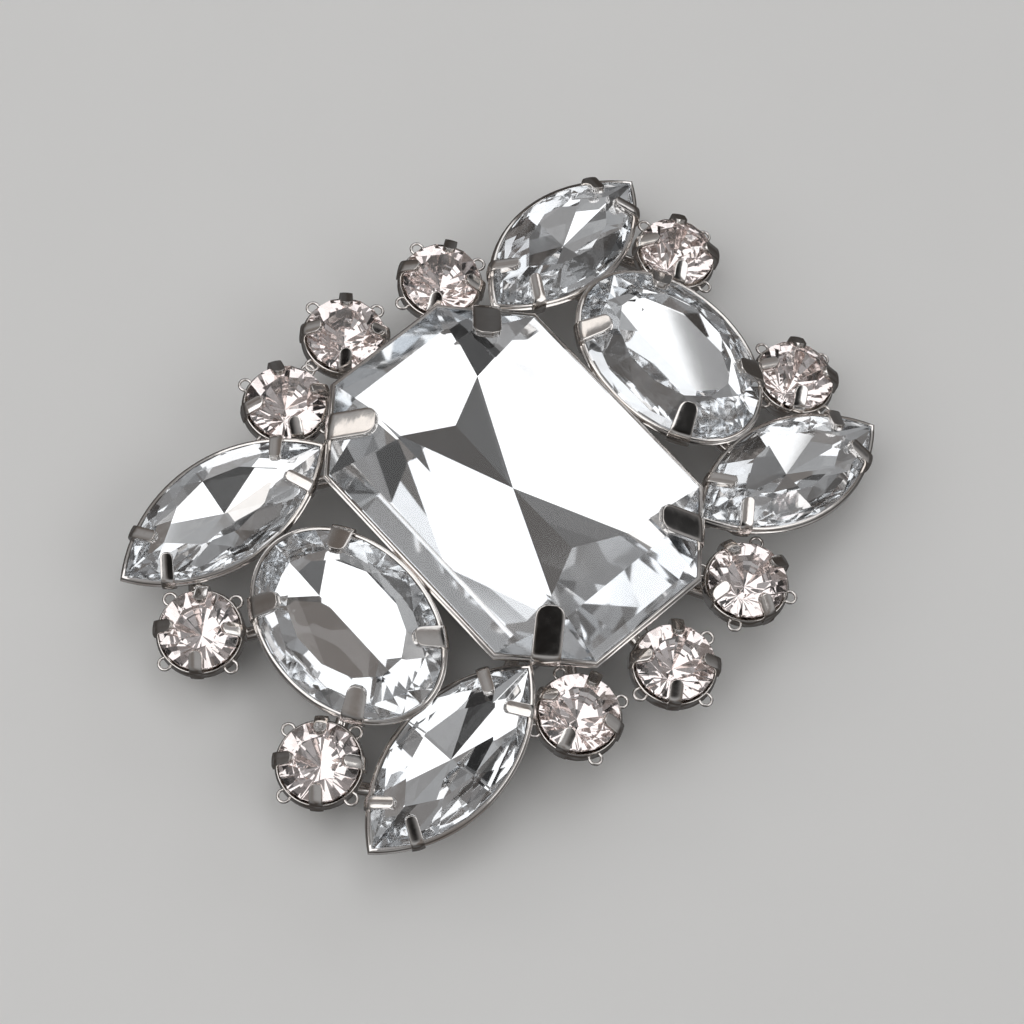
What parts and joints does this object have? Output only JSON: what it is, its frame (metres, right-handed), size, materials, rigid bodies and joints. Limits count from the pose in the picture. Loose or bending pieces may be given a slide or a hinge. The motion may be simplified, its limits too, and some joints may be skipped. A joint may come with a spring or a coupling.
{
  "type": "shoe buckle",
  "caption": "Clip-on jewelled shoe buckle: a large cut stone ringed by oval, pointed and round cut stones, claw-set in one soldered metal setting with a folded clip behind.",
  "frame": {"origin": "middle of the flat underside of the clip, on which the buckle rests, below the middle of the large stone", "axes": "+X across the large stone, +Y along it, +Z out of its table"},
  "size_m": [0.0496, 0.0381, 0.0097],
  "materials": {
    "metal": "bright silver-toned plating",
    "spring_steel": "plain nickel-plated spring strip",
    "crystal": "clear foil-backed crystal",
    "warm_crystal": "clear foil-backed crystal with a faint warm tint"
  },
  "bodies": {
    "root": {"setting_frame": "metal", "shoe_clip": "spring_steel", "large_stone": "crystal", "oval_stone_1": "crystal", "oval_stone_2": "crystal", "pointed_stone_1": "crystal", "pointed_stone_2": "crystal", "pointed_stone_3": "crystal", "pointed_stone_4": "crystal", "round_stone_1": "warm_crystal", "round_stone_2": "warm_crystal", "round_stone_3": "warm_crystal", "round_stone_4": "warm_crystal", "round_stone_5": "warm_crystal", "round_stone_6": "warm_crystal", "round_stone_7": "warm_crystal", "round_stone_8": "warm_crystal", "round_stone_9": "warm_crystal", "round_stone_10": "warm_crystal"}
  },
  "joints": []
}
